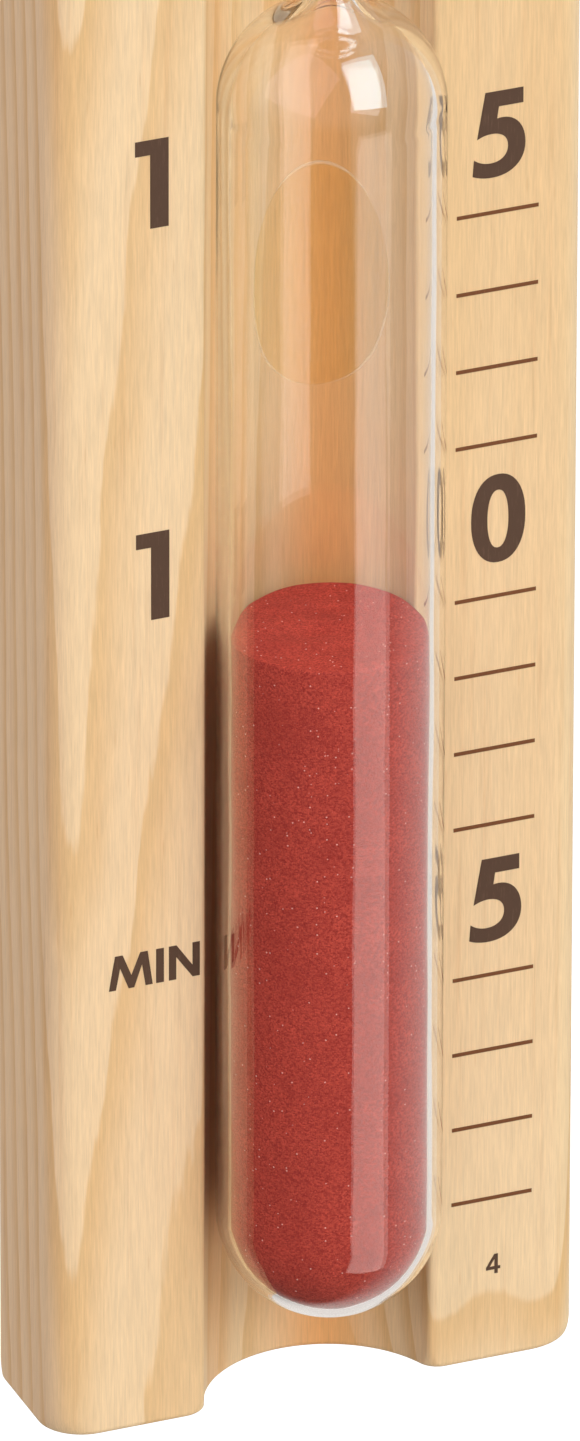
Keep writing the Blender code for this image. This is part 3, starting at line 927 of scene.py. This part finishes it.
def surroundings(tree, position):
    """Brightness of the studio by the way one looks: white behind and right, dark in front and left."""
    x, y, z = node(tree, "SeparateXYZ", {0: position}).outputs
    flat = maths(tree, "SQRT", maths(tree, "MULTIPLY_ADD", x, x, maths(tree, "MULTIPLY", y, y)))
    facing = maths(tree, "MULTIPLY_ADD", x, 0.8, maths(tree, "MULTIPLY", y, 0.6))
    share = maths(tree, "DIVIDE", facing, maths(tree, "ADD", flat, 0.05))
    sides = maths(tree, "MULTIPLY_ADD", smooth_step(tree, share, -0.35, 0.6), BRIGHT_SIDE, DARK_SIDE)
    ceiling = maths(tree, "MULTIPLY", smooth_step(tree, z, -0.15, 0.25), CEILING)
    return maths(tree, "MAXIMUM", sides, ceiling)


def looked_at(tree, path):
    """1 for rays that come from the eye, or from it through clear glass without any reflection."""
    unreflected = maths(tree, "LESS_THAN", path.outputs["Glossy Depth"], 0.5)
    through = maths(tree, "MULTIPLY", path.outputs["Is Transmission Ray"], unreflected)
    return maths(tree, "MAXIMUM", path.outputs["Is Camera Ray"], through)


def floor_look():
    """Pale to the eye; in the glass it mirrors the studio's white and dark sides."""
    made = new_material("studio_floor")
    tree = made.node_tree
    vector = object_mm(tree)
    dust = noise(tree, stretched(tree, vector, 0.002, 0.002, 0.002), 2.0)
    pale = mix(tree, dust, grey(0.88), grey(0.92))
    shown = node(tree, "BsdfPrincipled", {"Base Color": pale, "Roughness": 0.9, "Emission Strength": 0.62})
    shown.inputs["Emission Color"].default_value = grey(1.0)
    place_here = node(tree, "TexCoord").outputs["Object"]
    seen = node(tree, "Emission", {"Color": WARM_WHITE, "Strength": surroundings(tree, place_here)})
    bounced = node(tree, "Emission", {"Color": (1.0, 0.96, 0.9, 1.0), "Strength": 0.3})
    path = node(tree, "LightPath")
    inputs = {0: path.outputs["Is Diffuse Ray"], 1: seen.outputs[0], 2: bounced.outputs[0]}
    other = node(tree, "MixShader", inputs)
    inputs = {0: looked_at(tree, path), 1: other.outputs[0], 2: shown.outputs[0]}
    finish(tree, node(tree, "MixShader", inputs).outputs[0])
    return made


def make_stage():
    bm = bmesh.new()
    bmesh.ops.create_grid(bm, x_segments=8, y_segments=8, size=FLOOR_HALF_SIZE)
    bmesh.ops.translate(bm, verts=bm.verts, vec=(0, 0, -BLOCK_HALF_HEIGHT - FLOOR_DROP))
    floor = bpy.data.objects.new("studio_floor", mesh_from(bm, "studio_floor"))
    floor.data.materials.append(floor_look())
    bpy.context.scene.collection.objects.link(floor)


def make_world():
    world = bpy.data.worlds.new("studio")
    bpy.context.scene.world = world
    world.use_nodes = True
    tree = world.node_tree
    tree.nodes.clear()
    looking = node(tree, "TexCoord").outputs["Generated"]
    path = node(tree, "LightPath")
    shown = node(tree, "Background", {"Color": grey(1.0), "Strength": 1.0})
    ambient = node(tree, "Background", {"Color": (1.0, 0.98, 0.96, 1.0), "Strength": AMBIENT})
    seen = node(tree, "Background", {"Color": WARM_WHITE, "Strength": surroundings(tree, looking)})
    inputs = {0: path.outputs["Is Diffuse Ray"], 1: seen.outputs[0], 2: ambient.outputs[0]}
    other = node(tree, "MixShader", inputs)
    inputs = {0: looked_at(tree, path), 1: other.outputs[0], 2: shown.outputs[0]}
    mixed = node(tree, "MixShader", inputs)
    output = node(tree, "OutputWorld")
    tree.links.new(mixed.outputs[0], output.inputs["Surface"])


def direction(azimuth, elevation):
    """Unit vector from the object: azimuth 0 is in front of it and positive is to its right."""
    a, e = radians(azimuth), radians(elevation)
    return Vector((sin(a) * cos(e), -cos(a) * cos(e), sin(e)))


def softbox(name, azimuth, elevation, distance, width, height, watts, colour=(1.0, 1.0, 1.0), roll=0.0):
    data = bpy.data.lights.new(name, "AREA")
    data.shape = "RECTANGLE"
    data.size = width
    data.size_y = height
    data.energy = watts
    data.color = colour
    light = bpy.data.objects.new(name, data)
    target = LIT_POINT
    light.location = target + direction(azimuth, elevation) * distance
    light.rotation_mode = "QUATERNION"
    turn = Matrix.Rotation(radians(roll), 3, "Z").to_quaternion()
    light.rotation_quaternion = (target - light.location).to_track_quat("-Z", "Y") @ turn
    light.visible_camera = False
    bpy.context.scene.collection.objects.link(light)
    return light


def make_lights():
    """A softbox front right, a low panel that the glass mirrors, and fills from the left and from behind.

    What the glass mirrors of the softbox is a light of its own, so that it can be brighter and bluer.
    """
    key = softbox("key_softbox", 24, 36, distance=1.2, width=0.72, height=1.05, watts=9.1, roll=-24)
    key.visible_glossy = False
    cool = (0.55, 0.85, 1.0)
    glint = softbox("key_glint", 25, 42, 1.2, width=0.74, height=1.08, watts=16.0, colour=cool, roll=-14)
    glint.visible_diffuse = False
    warm = (1.0, 0.92, 0.86)
    softbox("low_panel", 20.5, -27.5, 0.7, width=0.39, height=0.55, watts=1.28, colour=warm)
    pinkish = (1.0, 0.85, 0.95)
    fill = softbox("left_fill", -72, 44, 1.6, width=2.2, height=1.8, watts=20.0, colour=pinkish)
    fill.visible_glossy = False
    softbox("back_fill", 150, 40, 1.8, width=1.4, height=1.2, watts=4.0)


def make_camera():
    data = bpy.data.cameras.new("camera")
    data.type = "PERSP"
    data.sensor_width = 36.0
    data.lens = CAMERA_LENS
    data.clip_start = 0.05
    data.clip_end = 40.0
    camera = bpy.data.objects.new("camera", data)
    back = direction(CAMERA_AZIMUTH, CAMERA_ELEVATION)
    camera.location = CAMERA_TARGET + back * CAMERA_DISTANCE
    camera.rotation_mode = "QUATERNION"
    upright = (-back).to_track_quat("-Z", "Y")
    roll = Matrix.Rotation(CAMERA_ROLL, 3, "Z").to_quaternion()
    camera.rotation_quaternion = upright @ roll
    bpy.context.scene.collection.objects.link(camera)
    bpy.context.scene.camera = camera


def make_small_parts():
    """The stopper, the pivot's pieces and the wall plate, shaped as in the CAD."""
    stopper = plain_look("stopper_silicone", (0.80, 0.77, 0.70), 0.5, contrast=0.06, Subsurface_Weight=0.2)
    refined("vial_stopper", "fill_stopper", stopper, "turning_block", "stopper_silicone")
    nylon = plain_look("white_nylon", (0.82, 0.74, 0.60), 0.42, contrast=0.05)
    refined("nylon_bush", "pivot_bush", nylon, "turning_block", "white_nylon")
    steel = plain_look("zinc_steel", (0.76, 0.62, 0.38), 0.3, 1.0, (3.0, 0.6, 3.0), 0.25)
    refined("button_screw", "pivot_screw", steel, "wall_group", "zinc_steel")
    spring = plain_look("spring_steel", (0.42, 0.42, 0.43), 0.32, 1.0, (1.0, 4.0, 1.0), 0.3)
    refined("steel_spring_washer", "spring_washer", spring, "wall_group", "spring_steel")
    brass = plain_look("turned_brass", (0.72, 0.50, 0.20), 0.35, 1.0, (0.8, 6.0, 0.8), 0.25)
    refined("brass_insert", "threaded_insert", brass, "wall_group", "brass")
    refined("felt_washer", "friction_washer", felt(), "wall_group", "felt")
    plate = pine("plate_pine_wood", plate_rings, plate_core, 0.55)
    refined("pine_plate", "wall_plate", plate, "wall_group", "plate_pine")


def main():
    settings = bpy.context.scene.view_settings
    settings.view_transform = "Standard"
    settings.look = "None"
    make_camera()
    make_world()
    make_stage()
    make_lights()
    make_block(pine("block_pine", block_rings, groove_orange_and_shade))
    make_vial(glass())
    make_sand(red_sand())
    make_dab("silicone_dab_low", "glue_dab_lower", -DAB_OFFSET)
    make_dab("silicone_dab_high", "glue_dab_upper", DAB_OFFSET)
    make_print(ink("brown_ink", (0.096, 0.052, 0.031)), ink("tick_ink", (0.18, 0.066, 0.022)))
    make_small_parts()


main()
